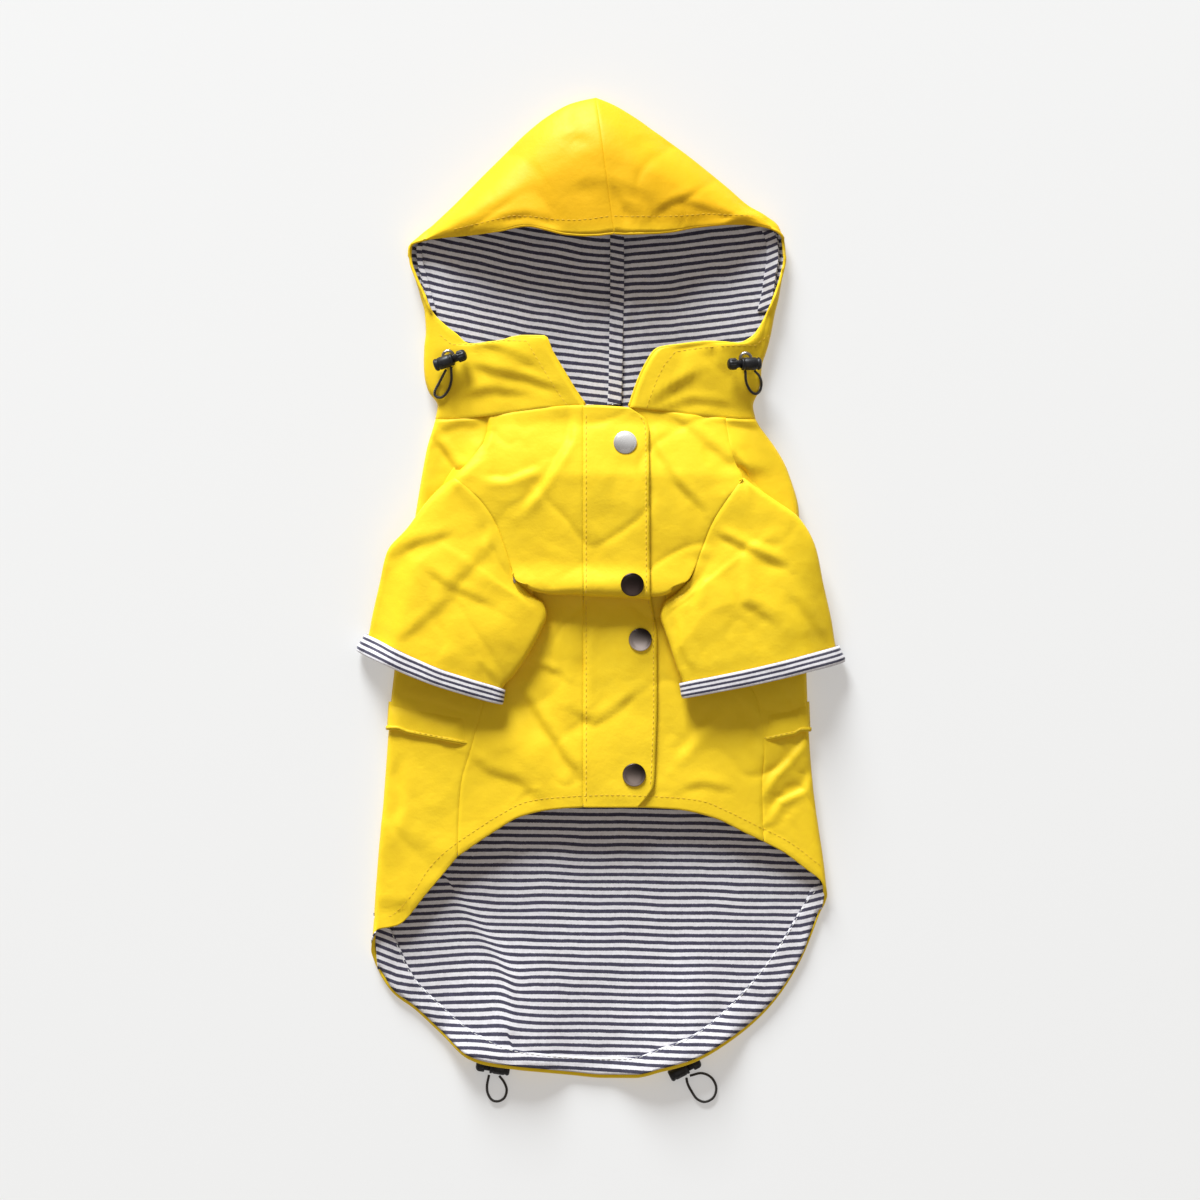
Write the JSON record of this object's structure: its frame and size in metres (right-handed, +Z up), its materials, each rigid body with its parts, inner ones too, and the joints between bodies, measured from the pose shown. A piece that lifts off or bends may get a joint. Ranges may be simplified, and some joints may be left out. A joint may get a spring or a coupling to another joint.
{
  "type": "dog raincoat",
  "caption": "Hooded dog raincoat laid flat, belly side up: snap placket, short cuffed sleeves, drawcords with cord locks at hood and hem, striped lining.",
  "frame": {"origin": "middle of the laid coat's bounds, on the surface under it", "axes": "+Y from the back hem to the hood's peak, +Z up out of the belly side, +X to the coat's right as it is looked down on"},
  "size_m": [0.2692, 0.553, 0.026],
  "materials": {
    "yellow_cloth": "smooth coated woven cloth, soft sheen",
    "striped_cotton": "matte knitted cotton, narrow navy stripes on off-white",
    "snap_metal": "dark plated cap, glossy",
    "eyelet_metal": "bright nickel",
    "lock_plastic": "moulded black plastic, satin",
    "cord": "round elastic cord"
  },
  "bodies": {
    "coat": {"back_panel": "yellow_cloth", "front_left": "yellow_cloth", "front_right": "yellow_cloth", "placket": "yellow_cloth", "sleeve_left": "yellow_cloth", "sleeve_right": "yellow_cloth", "flap_left": "yellow_cloth", "flap_right": "yellow_cloth", "hood_left": "yellow_cloth", "hood_right": "yellow_cloth", "back_lining": "striped_cotton", "hem_facing": "striped_cotton", "cuff_left": "striped_cotton", "cuff_right": "striped_cotton", "hood_lining_left": "striped_cotton", "hood_lining_right": "striped_cotton", "hood_facing_left": "striped_cotton", "hood_facing_right": "striped_cotton", "hood_seam_tape": "striped_cotton", "snap_1": "snap_metal", "snap_2": "snap_metal", "snap_3": "snap_metal", "snap_4": "snap_metal", "eyelet_left": "eyelet_metal", "eyelet_right": "eyelet_metal", "lock_hood_left_barrel": "lock_plastic", "lock_hood_right_barrel": "lock_plastic", "lock_hem_left_barrel": "lock_plastic", "lock_hem_right_barrel": "lock_plastic", "cord_hood_left": "cord", "cord_hood_right": "cord", "cord_hem_left": "cord", "cord_hem_right": "cord"},
    "plunger_hood_left": {"lock_hood_left_plunger": "lock_plastic"},
    "plunger_hood_right": {"lock_hood_right_plunger": "lock_plastic"},
    "plunger_hem_left": {"lock_hem_left_plunger": "lock_plastic"},
    "plunger_hem_right": {"lock_hem_right_plunger": "lock_plastic"}
  },
  "joints": [
    {"name": "press_hood_left", "type": "slide", "parent": "coat", "child": "plunger_hood_left", "axis": [-0.9251, -0.3367, -0.1758], "range_m": [0, 0.0025], "stiffness_N_per_m": 400, "springref_m": -0.004},
    {"name": "press_hood_right", "type": "slide", "parent": "coat", "child": "plunger_hood_right", "axis": [0.9752, 0.017, -0.2206], "range_m": [0, 0.0025], "stiffness_N_per_m": 400, "springref_m": -0.004},
    {"name": "press_hem_left", "type": "slide", "parent": "coat", "child": "plunger_hem_left", "axis": [0.9903, -0.1392, 0], "range_m": [0, 0.0025], "stiffness_N_per_m": 400, "springref_m": -0.004},
    {"name": "press_hem_right", "type": "slide", "parent": "coat", "child": "plunger_hem_right", "axis": [-0.891, -0.454, 0], "range_m": [0, 0.0025], "stiffness_N_per_m": 400, "springref_m": -0.004}
  ]
}
